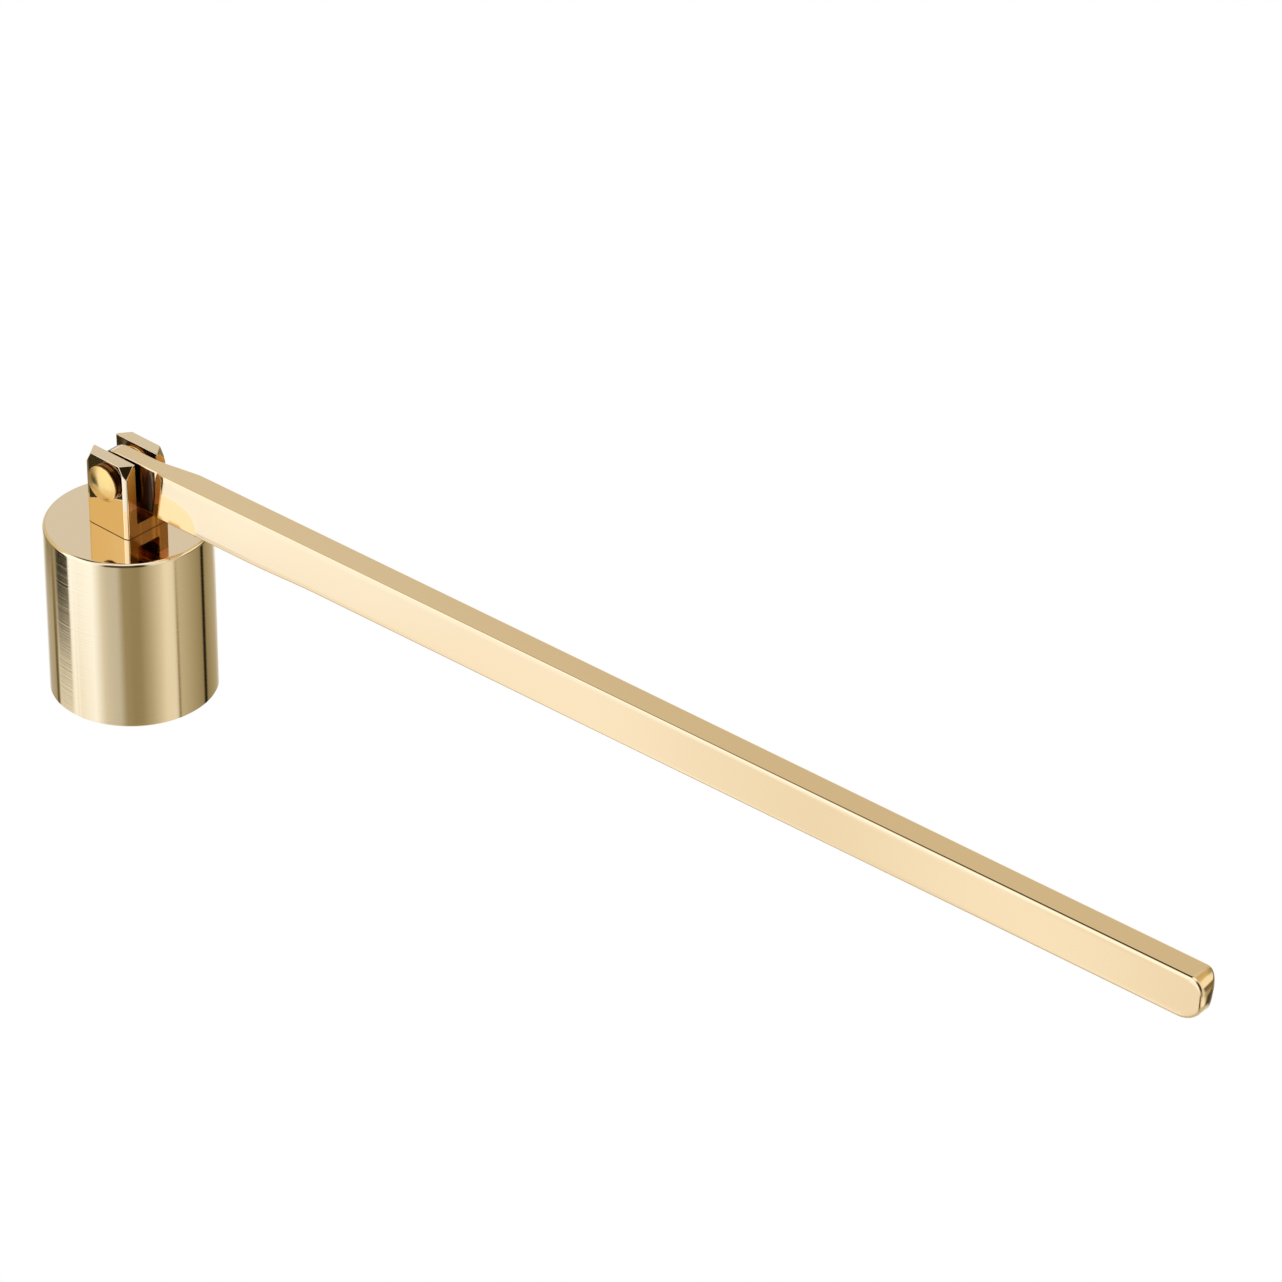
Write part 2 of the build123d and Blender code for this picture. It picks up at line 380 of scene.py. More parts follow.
# Each finish has a light and a deep tone, an effect and the effect's values.
finishes = {
    "barGold": (
        (0.955, 0.76, 0.495), (0.95, 0.75, 0.47), polish,
        {"Roughness": 0.07, "Haze": 0.04, "Hairs": 0.12},
    ),
    "earGold": (
        (0.955, 0.805, 0.585), (0.95, 0.79, 0.56), polish,
        {"Roughness": 0.04, "Haze": 0.02, "Hairs": 0.04},
    ),
    "headGold": (
        (0.96, 0.70, 0.31), (0.90, 0.62, 0.22), polish,
        {"Roughness": 0.2, "Haze": 0.08, "Hairs": 0.3},
    ),
    # Painted shade: the gold of the rivet heads' sides and shank, darkened.
    "headSidePaintedShade": (
        (0.24, 0.11, 0.035), (0.16, 0.065, 0.02), polish,
        {"Roughness": 0.16, "Haze": 0.05, "Hairs": 0.2},
    ),
    "cupTopGold": (
        (0.965, 0.815, 0.605), (0.96, 0.805, 0.58), turning,
        {"Fineness": 3000.0, "Depth": 0.03, "Roughness": 0.045, "Spread": 0.02},
    ),
    "cupSideGold": (
        (0.955, 0.82, 0.585), (0.95, 0.81, 0.56), turning,
        {"Fineness": 2600.0, "Depth": 0.6, "Roughness": 0.075, "Spread": 0.06},
    ),
    "cupInsideGold": (
        (0.93, 0.66, 0.30), (0.90, 0.60, 0.24), turning,
        {"Fineness": 1500.0, "Depth": 0.6, "Roughness": 0.3, "Spread": 0.15},
    ),
}
# Each place of painted shade and light, and the seam, has its finish, its bounds, a dark and a streak
# tone and its metallic share: painted shade on the tongue's sides, painted reflection on the upper part
# of the bracket's side, painted shade on its lower part, the solder seam and painted shade on the ears'
# insides.
paintedShadesAndSeam = (
    # Painted shade on the tongue's sides between the ears, with lighter streaks.
    (
        "barGold", {"Half": 1.78, "Reach": 7.6, "Low": 32.7, "High": 39.85},
        (0.035, 0.014, 0.005), (0.42, 0.20, 0.06), 0.9,
    ),
    # Painted reflection: warm orange on the upper bracket side, lighter towards the top.
    (
        "earGold", {"Half": 3.8, "From": 4.05, "Reach": 5.0, "Low": 32.55, "High": 39.6, "Lift": 1.1},
        (0.62, 0.17, 0.01), (1.0, 0.46, 0.08), 0.1,
    ),
    # Painted shade on the lower part of the bracket's side.
    (
        "earGold", {"Half": 3.8, "From": 4.05, "Reach": 5.0, "Low": 27.9, "High": 32.65},
        (0.26, 0.10, 0.002), (0.50, 0.23, 0.01), 0.6,
    ),
    (
        "earGold", {"Half": 4.6, "From": -4.6, "Reach": 4.6, "Low": 27.5, "High": 28.12},
        (0.16, 0.06, 0.012), (0.24, 0.10, 0.02), 0.9,
    ),
    # Painted shade in the slot, on the ears' insides and the slot's floor.
    (
        "earGold", {"Half": 2.15, "Reach": 4.05, "Low": 29.9, "High": 39.7},
        (0.30, 0.11, 0.02), (0.75, 0.36, 0.08), 0.85,
    ),
)
gold = {name: goldMaterial(name, *look) for name, look in finishes.items()}
for name, *look in paintedShadesAndSeam:
    addShadeAndSeam(gold[name], shadeAndSeamEffect, *look)
print("materials made")


# The cup is turned from one piece and hangs mouth down.
cup = {
    "radius": 12.5,
    "height": 28.0,
    "wall": 1.2,
    "topThickness": 2.0,
    "rimBevel": 0.3,
    "topRound": 0.5,
    "cavityRound": 0.8,
    "edgeSupport": 0.08,
    "steps": 288,
    "flatStations": 9,
    "arcStations": 9,
    "wallStations": 14,
    "brightEdgeRows": 5,
    "turnedRimRows": 8,
}


def cupProfile(c):
    # The cup's half section as (radius, height): out along the top, round its edge, down the wall,
    # over the bevelled rim, up the inside, round the cavity's corner and in to the middle.
    outer, inner = c["radius"], c["radius"] - c["wall"]
    cavityTop = c["height"] - c["topThickness"]
    bevel, support, topRound, cavityRound = c["rimBevel"], c["edgeSupport"], c["topRound"], c["cavityRound"]
    flats, arcs, walls = c["flatStations"], c["arcStations"], c["wallStations"]
    flat = np.linspace(0, outer - topRound - support, flats)
    top = np.column_stack((flat, np.full(flats, c["height"])))
    edge = arcPoints(outer - topRound, c["height"] - topRound, topRound, 90, 0, arcs)
    wallHeights = np.linspace(c["height"] - topRound - support, bevel + support, walls)
    side = np.column_stack((np.full(walls, outer), wallHeights))
    rim = np.array((
        (outer, bevel),
        (outer - bevel / 3, bevel * 2 / 3),
        (outer - bevel * 2 / 3, bevel / 3),
        (outer - bevel, 0),
        (outer - bevel - support, 0),
        (inner + bevel + support, 0),
        (inner + bevel, 0),
        (inner + bevel * 2 / 3, bevel / 3),
        (inner + bevel / 3, bevel * 2 / 3),
        (inner, bevel),
    ))
    insideHeights = np.linspace(bevel + support, cavityTop - cavityRound - support, walls)
    inside = np.column_stack((np.full(walls, inner), insideHeights))
    corner = arcPoints(inner - cavityRound, cavityTop - cavityRound, cavityRound, 0, 90, arcs)
    roofRadii = np.linspace(inner - cavityRound - support, 0, flats)
    roof = np.column_stack((roofRadii, np.full(flats, cavityTop)))
    profile = np.vstack((top, edge, side, rim, inside, corner, roof))
    # Rows of the top and some of its edge are mirror bright (0), the wall and most of the rim are
    # turned (1), and the rest is inside (2).
    rowMaterial = np.full(len(profile) - 1, 1)
    rowMaterial[: len(top) + c["brightEdgeRows"]] = 0
    rowMaterial[len(top) + len(edge) + len(side) + c["turnedRimRows"]:] = 2
    return profile, rowMaterial


profile, rowMaterial = cupProfile(cup)
cupGolds = (gold["cupTopGold"], gold["cupSideGold"], gold["cupInsideGold"])
cupPiece = turnedPiece("bellCup", profile, cup["steps"], "z", 0, cupGolds, rowMaterial, sharpDeg=35)
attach(cupPiece, "bell")
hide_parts("bell_cup")
print("cup made")


# The rivet lies along Y. Its near head, towards -Y, is domed and its far head is formed. The four
# groove heights are shares of a head's rim.
rivet = {
    "height": 36.35,
    "shankRadius": 1.5,
    "earOuter": 4.13,
    "nearRadius": 2.8,
    "nearRim": 0.88,
    "nearCrown": 0.62,
    "farRadius": 2.6,
    "farRim": 0.45,
    "farCrown": 0.55,
    "edgeRound": 0.12,
    "nearGroove": 0.22,
    "farGroove": 0.05,
    "grooveHeights": (0.68, 0.62, 0.44, 0.38),
    "footShare": 0.2,
    "intoEar": 0.15,
    "steps": 96,
    "domeStations": 12,
    "edgeStations": 6,
}


def headProfile(r, radius, rim, crown, groove):
    # A head from its middle outwards as (radius, height above the ear): a shallow dome whose height
    # falls with the square of the radius, a rounded edge, and a side with a groove, whose foot is
    # drawn in by a share of the groove and runs into the ear.
    edgeRound, foot = r["edgeRound"], radius - groove * r["footShare"]
    upperEdge, grooveTop, grooveBottom, lowerEdge = (rim * share for share in r["grooveHeights"])
    across = np.linspace(0, radius - edgeRound, r["domeStations"])
    dome = np.column_stack((across, rim + crown * (1 - (across / radius) ** 2)))
    slope = np.degrees(np.arctan2(radius, 2 * crown))
    edge = arcPoints(radius - edgeRound, dome[-1, 1] - edgeRound, edgeRound, slope, 0, r["edgeStations"])
    side = np.array((
        (radius, upperEdge), (radius - groove, grooveTop), (radius - groove, grooveBottom),
        (foot, lowerEdge), (foot, -r["intoEar"]),
    ))
    return np.vstack((dome, edge, side)), len(dome) + len(edge) - 2


def rivetProfile(r):
    # (radius, y) from the near head's crown, along the shank, to the far head's crown. The domes and
    # most of their rounded edges are bright (0), and the heads' sides and the shank get the gold darkened
    # by painted shade (1).
    near, nearTop = headProfile(r, r["nearRadius"], r["nearRim"], r["nearCrown"], r["nearGroove"])
    far, farTop = headProfile(r, r["farRadius"], r["farRim"], r["farCrown"], r["farGroove"])
    near = np.column_stack((near[:, 0], -r["earOuter"] - near[:, 1]))
    far = np.column_stack((far[:, 0], r["earOuter"] + far[:, 1]))[::-1]
    shank = np.array(((r["shankRadius"], -r["earOuter"]), (r["shankRadius"], r["earOuter"])))
    points = np.vstack((near, shank, far))
    rowMaterial = np.full(len(points) - 1, 1)
    rowMaterial[:nearTop] = 0
    rowMaterial[len(points) - 1 - farTop:] = 0
    return points, rowMaterial


points, rowMaterial = rivetProfile(rivet)
rivetGolds = (gold["headGold"], gold["headSidePaintedShade"])
rivetPiece = turnedPiece("hingeRivet", points, rivet["steps"], "y", rivet["height"], rivetGolds, rowMaterial)
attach(rivetPiece, "bell")
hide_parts("hinge_rivet")

washer = {"radius": 3.1, "hole": 1.55, "thickness": 0.34, "outside": 2.08, "edge": 0.08, "steps": 72}


def washerProfile(w, side):
    # A flat ring as a closed loop of (radius, y), with its outer corners broken.
    low, high = sorted((side * w["outside"], side * (w["outside"] - w["thickness"])))
    out, edge = w["radius"], w["edge"]
    return np.array((
        (w["hole"], low), (out - edge, low), (out, low + edge), (out, high - edge),
        (out - edge, high), (w["hole"], high), (w["hole"], low),
    ))


for name, side in (("near", -1), ("far", 1)):
    loop, golds = washerProfile(washer, side), (gold["headGold"],)
    washerPiece = turnedPiece(name + "Washer", loop, washer["steps"], "y", rivet["height"], golds)
    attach(washerPiece, "bell")
    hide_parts(name + "_washer")
print("rivet and washers made")


# The bracket stands on the cup. Its bevels go along and inward from a corner, its clips also down.
bracket = {
    "halfWidth": 4.2,
    "outer": 4.13,
    "inner": 2.08,
    "foot": 28.0,
    "top": 40.0,
    "base": 1.95,
    "slotRound": 0.25,
    "bevelAlong": 0.64,
    "bevelInward": 0.27,
    "clipAlong": 1.3,
    "clipInward": 1.75,
    "clipDown": 2.3,
    "softEdge": 0.1,
    "holeRadius": 1.52,
    "yawDeg": -1.5,
    "leanDeg": 0.3,
    "softSegments": 3,
    "softFromDeg": 20,
    "flatFromDeg": 40,
    "oneFaceRadians": 0.01,  # parts of the hull that turn less than this become one face
    "cornerStations": 7,
    "slotAbove": 2.0,
    "cutOverrun": 1.0,
    "boreHalfLength": 8.0,
}


def setAskew(piece, b):
    # The bracket was soldered on a little askew: y moves by the depth under the rivet times the
    # tangent of the lean, and then the whole turns about the cup's axis by the yaw.
    places = np.empty(len(piece.data.vertices) * 3)
    piece.data.vertices.foreach_get("co", places)
    x, y, z = places.reshape(-1, 3).T
    lean, yaw = np.tan(np.radians(b["leanDeg"])), np.radians(b["yawDeg"])
    y = y + (rivet["height"] * mm - z) * lean
    turned = np.column_stack((np.cos(yaw) * x - np.sin(yaw) * y, np.sin(yaw) * x + np.cos(yaw) * y, z))
    piece.data.vertices.foreach_set("co", turned.ravel())
    piece.data.update()


def blockCorners(b):
    # The block that the bracket is cut from is the space inside fourteen planes. Every three planes
    # meet in a point, and the points that no plane cuts off are its corners.
    tolerance = 1e-6
    half, outer, top = b["halfWidth"], b["outer"], b["top"]
    planes = [
        ((1, 0, 0), half), ((-1, 0, 0), half), ((0, 1, 0), outer), ((0, -1, 0), outer),
        ((0, 0, -1), -b["foot"]), ((0, 0, 1), top),
    ]
    for along in (-1, 1):
        for across in (-1, 1):
            bevel = np.array((along / b["bevelAlong"], across / b["bevelInward"], 0))
            planes.append((tuple(bevel), half / b["bevelAlong"] + outer / b["bevelInward"] - 1))
            clip = np.array((along / b["clipAlong"], across / b["clipInward"], 1 / b["clipDown"]))
            onTop = np.array((along * (half - b["clipAlong"]), across * outer, top))
            planes.append((tuple(clip), float(clip @ onTop)))
    normals = np.array([p[0] for p in planes], dtype=float)
    offsets = np.array([p[1] for p in planes], dtype=float)
    i, j, k = np.meshgrid(*[np.arange(len(planes))] * 3, indexing="ij")
    triples = np.column_stack((i.ravel(), j.ravel(), k.ravel()))
    triples = triples[(triples[:, 0] < triples[:, 1]) & (triples[:, 1] < triples[:, 2])]
    systems = normals[triples]
    good = np.abs(np.linalg.det(systems)) > tolerance
    points = np.linalg.solve(systems[good], offsets[triples[good]][..., None])[..., 0]
    inside = np.all(points @ normals.T <= offsets + tolerance, axis=1)
    return np.unique(np.round(points[inside], 5), axis=0)


def slotOutline(b):
    # The slot between the ears in the plane square to X, as (y, z): open at the top, and with its
    # two bottom corners rounded.
    half, low, high, r = b["inner"], b["foot"] + b["base"], b["top"] + b["slotAbove"], b["slotRound"]
    right = arcPoints(half - r, low + r, r, -90, 0, b["cornerStations"])
    left = arcPoints(r - half, low + r, r, 180, 270, b["cornerStations"])
    return np.vstack((left, right, ((half, high), (-half, high))))


def makeBracket(b):
    # The hull of the block's corners, with the slot cut out along X, its edges softened, the rivet's
    # hole bored along Y and the whole set askew.
    mesh = bpy.data.meshes.new("hingeBracket")
    mesh.from_pydata((blockCorners(b) * mm).tolist(), [], [])
    work = bmesh.new()
    work.from_mesh(mesh)
    bmesh.ops.convex_hull(work, input=work.verts)
    bmesh.ops.dissolve_limit(work, angle_limit=b["oneFaceRadians"], verts=work.verts, edges=work.edges)
    bmesh.ops.recalc_face_normals(work, faces=work.faces)
    work.to_mesh(mesh)
    work.free()
    mesh.materials.append(gold["earGold"])
    piece = bpy.data.objects.new("hingeBracket", mesh)
    bpy.context.scene.collection.objects.link(piece)
    slot = slotOutline(b)
    reach = b["halfWidth"] + b["cutOverrun"]
    cutAway(piece, np.stack([np.column_stack((np.full(len(slot), x), slot)) for x in (-reach, reach)]))
    softenEdges(piece, b["softEdge"], b["softSegments"], b["softFromDeg"])
    keepApplied(piece)
    boreHole(piece, b["holeRadius"], rivet["height"], b["boreHalfLength"])
    setAskew(piece, b)
    keepFacesFlat(piece, b["flatFromDeg"])
    return piece


bracketPiece = makeBracket(bracket)
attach(bracketPiece, "bell")
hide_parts("hinge_bracket")
print("bracket made")


# The handle, with places along it measured from the rivet. Values for -1 are for its near side and
# values for 1 for its far side.
handle = {
    "top": 40.1,
    "eyeBottom": 32.47,
    "barBottom": 32.85,
    "tipBottom": 33.15,
    "taperStart": 26.0,
    "taperEnd": 40.0,
    "eyePastPin": 0.17,
    "reach": 193.5,
    "thickness": 4.1,
    "edgeRound": 0.3,
    "tipEdgeRound": 0.5,
    "tipTopRound": 2.2,
    "tipBottomRound": 3.8,
    "tipRound": {-1: 0.6, 1: 2.4},
    "tipRoundBelow": {-1: 0.0, 1: 0.9},
    "tongueFace": {-1: 1.69, 1: 0.85},
    "shoulder": {-1: 7.4, 1: 5.5},
    "shoulderRun": {-1: 1.5, 1: 6.9},
    "shoulderSoft": {-1: 0.05, 1: 0.06},
    "shoulderLean": 11.0,
    "tongueEdge": 0.2,
    "endMiddle": 0.8,  # the middle line of the side faces rises by this much,
    "endMiddleFrom": 180.0,  # from here
    "endMiddleBack": 3.0,  # to this far before the tip
    "holeRadius": 1.55,
    "edgeRoundAt": (4.0, 14.0, 90.0, 160.0),  # the tongue's edge, the bar's from here to here, the tip's
    "stationLeanAt": (0, 4, 14, 24),  # the mesh's stations lean fully between the middle two
    "tipDepthLess": 0.5,  # the tip's rounding grows over the bottom corner's radius less this
    # The mesh's lines along the straight part: single ones about the shoulders' starts and ends, and
    # between them evenly spaced spans.
    "aboutNearShoulder": (-0.3, -0.15, -0.07, 0.0, 0.07, 0.15, 0.3),
    "aboutFarStart": (-0.6, -0.2, 0.2, 0.6),
    "aboutFarEnd": (-0.4, 0.0, 0.4, 0.8),
    "beforeFarStart": 1.2,
    "afterNearEnd": 0.6,
    "beforeFarEnd": 0.8,
    "afterFarEnd": 1.6,
    "neckSpanEnd": 24.0,
    "taperSpan": (25.0, 41.0),
    "barSpan": (46.0, 186.0),
    "tipSpanStart": 187.5,
    "spanLines": (7, 4, 7, 17, 25, 3),  # in each span, from the eye to the tip
    "arcStations": 25,
    "faceStations": 6,
    "edgeStations": 6,
    "boreHalfLength": 4.0,
    "flatFromDeg": 30,
}


def softRamp(s, soft):
    # Rises from 0 to 1 as s goes from 0 to 1, with corners rounded by soft. It is half of a sum: one,
    # plus the length of (s, soft), less the length of (s - 1, soft).
    return 0.5 * (1 + np.hypot(s, soft) - np.hypot(s - 1, soft))


def faceDistance(h, side, x, z):
    # How far one side face lies from the middle plane at a place of the side view: the tongue's
    # distance, then up the leaned shoulder to the bar's, and round a quarter circle in plan at the tip,
    # whose radius grows with the depth below the tip's top corner.
    lean = np.tan(np.radians(h["shoulderLean"]))
    along = (x - lean * (z - rivet["height"]) - h["shoulder"][side]) / h["shoulderRun"][side]
    tongue, bar = h["tongueFace"][side], h["thickness"] / 2
    fullDepth = h["tipBottomRound"] - h["tipDepthLess"]
    depth = np.clip((h["top"] - h["tipTopRound"] - z) / fullDepth, 0, 1)
    tipRound = h["tipRound"][side] + h["tipRoundBelow"][side] * depth
    distance = tongue + (bar - tongue) * softRamp(along, h["shoulderSoft"][side])
    past = np.clip(x - (h["reach"] - tipRound), 0, tipRound)
    return distance - tipRound + np.sqrt(tipRound ** 2 - past ** 2)


def edgeHeight(h, side, x):
    # The height of the bar's narrow face: level on top. The bottom one goes up by a smooth step,
    # three squares less two cubes of the share of the taper, and then evenly to the tip.
    if side > 0:
        return np.full(len(x), h["top"])
    share = np.clip((x - h["taperStart"]) / (h["taperEnd"] - h["taperStart"]), 0, 1)
    step = share ** 2 * (3 - 2 * share)
    along = np.clip((x - h["taperEnd"]) / (h["reach"] - h["taperEnd"]), 0, 1)
    taperRise, barRise = h["barBottom"] - h["eyeBottom"], h["tipBottom"] - h["barBottom"]
    return h["eyeBottom"] + taperRise * step + barRise * along


def outlineHalf(h, side, straight):
    # The top (side 1) or bottom (side -1) half of the side view's outline, from the eye's end to the
    # tip's end, with its outward direction: a quarter circle, a nearly straight edge whose stations
    # lean with the shoulders, a corner's arc and a short upright.
    radius = (h["top"] - h["eyeBottom"]) / 2
    middle = h["top"] - radius
    corner = h["tipTopRound"] if side > 0 else h["tipBottomRound"]
    eye = arcPoints(0, 0, 1, 180, 90, h["arcStations"])[:-1]
    lean = np.tan(np.radians(h["shoulderLean"])) * radius * side
    leaned = np.interp(straight, h["stationLeanAt"], (0, 1, 1, 0))
    edgeX = straight + lean * leaned
    turnX = h["reach"] - corner
    tip = arcPoints(0, 0, 1, 90, 0, h["arcStations"])
    eyeX, tipX = -h["eyePastPin"] + radius * eye[:, 0], turnX + corner * tip[:, 0]
    x = np.concatenate((eyeX, edgeX, tipX, (h["reach"],)))
    tipEdge = edgeHeight(h, side, np.array((turnX,)))
    tipZ = tipEdge - side * corner * (1 - tip[:, 1])
    end = (middle + h["endMiddle"],)
    z = np.concatenate((middle + side * radius * eye[:, 1], edgeHeight(h, side, edgeX), tipZ, end))
    nx = np.concatenate((eye[:, 0], np.zeros(len(straight)), tip[:, 0], (1.0,)))
    nz = np.concatenate((eye[:, 1], np.ones(len(straight)), tip[:, 1], (0.0,))) * side
    return x, z, nx, nz


def handleHalf(h, side, straight):
    # One half of the bar, top or bottom: for each station of the outline, its place along the bar, its
    # outward direction, the width of the rounded edge there and the point that far inside.
    x, z, nx, nz = outlineHalf(h, side, straight)
    widths = (h["tongueEdge"], h["edgeRound"], h["edgeRound"], h["tipEdgeRound"])
    edge = np.interp(x, h["edgeRoundAt"], widths)
    return x, nx, nz, edge, x - nx * edge, z - nz * edge


def straightStations(h):
    # The places of the mesh's lines along the straight part, which are closer together where the
    # shoulders start and end.
    far, near = h["shoulder"][1], h["shoulder"][-1]
    farEnd, nearEnd = far + h["shoulderRun"][1], near + h["shoulderRun"][-1]
    spans = (
        (-h["eyePastPin"], far - h["beforeFarStart"]),
        (nearEnd + h["afterNearEnd"], farEnd - h["beforeFarEnd"]),
        (farEnd + h["afterFarEnd"], h["neckSpanEnd"]),
        h["taperSpan"],
        h["barSpan"],
        (h["tipSpanStart"], h["reach"] - h["tipBottomRound"]),
    )
    even = [np.linspace(start, end, lines) for (start, end), lines in zip(spans, h["spanLines"])]
    about = (
        far + np.array(h["aboutFarStart"]),
        farEnd + np.array(h["aboutFarEnd"]),
        near + np.array(h["aboutNearShoulder"]),
        nearEnd + np.array(h["aboutNearShoulder"]),
    )
    return np.unique(np.round(np.concatenate((*even, *about)), 4))


def makeHandle(h):
    # Two grids, for the top and the bottom half. A column is a station of the outline. The rows go from
    # the middle line evenly over the near face to the inside of the rounded edge, round it by the
    # sine and cosine of a quarter turn, over the narrow face and back over the far one. Sideways, a
    # point lies at its face's distance, less what the rounding takes off.
    straight = straightStations(h)
    topHalf, bottomHalf = handleHalf(h, 1, straight), handleHalf(h, -1, straight)
    midX = (topHalf[4] + bottomHalf[4]) / 2
    riseAt = (h["endMiddleFrom"], h["reach"] - h["endMiddleBack"])
    midZ = (h["top"] + h["eyeBottom"]) / 2 + np.interp(topHalf[0], riseAt, (0.0, h["endMiddle"]))
    quarter = np.radians(np.linspace(0, 90, h["edgeStations"]))
    halves = []
    for x, nx, nz, edge, ringX, ringZ in (topHalf, bottomHalf):
        rowsX, rowsZ, rowsY = [], [], []
        for share in np.linspace(0, 1, h["faceStations"])[:-1]:
            rowsX.append(midX + (ringX - midX) * share)
            rowsZ.append(midZ + (ringZ - midZ) * share)
            rowsY.append(np.zeros(len(x)))
        for angle in quarter:
            rowsX.append(ringX + nx * edge * np.sin(angle))
            rowsZ.append(ringZ + nz * edge * np.sin(angle))
            rowsY.append(edge * (1 - np.cos(angle)))
        rowsX, rowsZ, rowsY = np.array(rowsX), np.array(rowsZ), np.array(rowsY)
        nearGrid = np.stack((rowsX, rowsY - faceDistance(h, -1, rowsX, rowsZ), rowsZ), -1)
        farGrid = np.stack((rowsX, faceDistance(h, 1, rowsX, rowsZ) - rowsY, rowsZ), -1)[::-1]
        halves.append(np.concatenate((nearGrid, farGrid), 0))
    rows, columns = halves[0].shape[:2]
    vertices = np.concatenate([g.reshape(-1, 3) for g in halves])
    quads = np.concatenate((gridQuads(rows, columns), gridQuads(rows, columns, rows * columns)))
    piece = newPiece("handleBar", vertices, quads, (gold["barGold"],))
    boreHole(piece, h["holeRadius"], rivet["height"], h["boreHalfLength"])
    keepFacesFlat(piece, h["flatFromDeg"])
    return piece


handlePiece = makeHandle(handle)
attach(handlePiece, "handle")
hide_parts("handle")
print("handle made")


